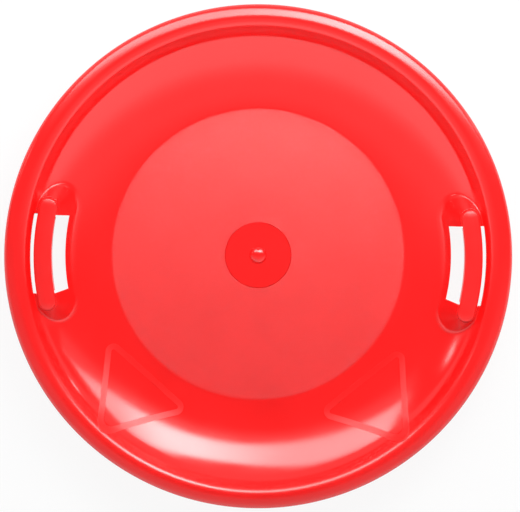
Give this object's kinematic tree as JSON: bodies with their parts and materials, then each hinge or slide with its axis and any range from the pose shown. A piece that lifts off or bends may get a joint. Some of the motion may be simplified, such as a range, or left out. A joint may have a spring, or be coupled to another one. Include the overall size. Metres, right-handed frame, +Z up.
{
  "type": "saucer sled",
  "caption": "Round red plastic saucer sled with a matt floor, a domed centre cap and a grip over a finger slot on each side.",
  "frame": {"origin": "on the axis of the dish, level with its flat underside", "axes": "+Z up out of the bowl along the axis of the dish, +X towards the right grip, +Y away from the rider"},
  "size_m": [0.6, 0.6, 0.0617],
  "materials": {
    "dish_plastic": "gloss wall and rim, fine matt grain on the floor",
    "grip_plastic": "satin",
    "cap_plastic": "gloss"
  },
  "bodies": {
    "root": {"dish": "dish_plastic", "left_grip": "grip_plastic", "right_grip": "grip_plastic", "centre_cap": "cap_plastic"}
  },
  "joints": []
}
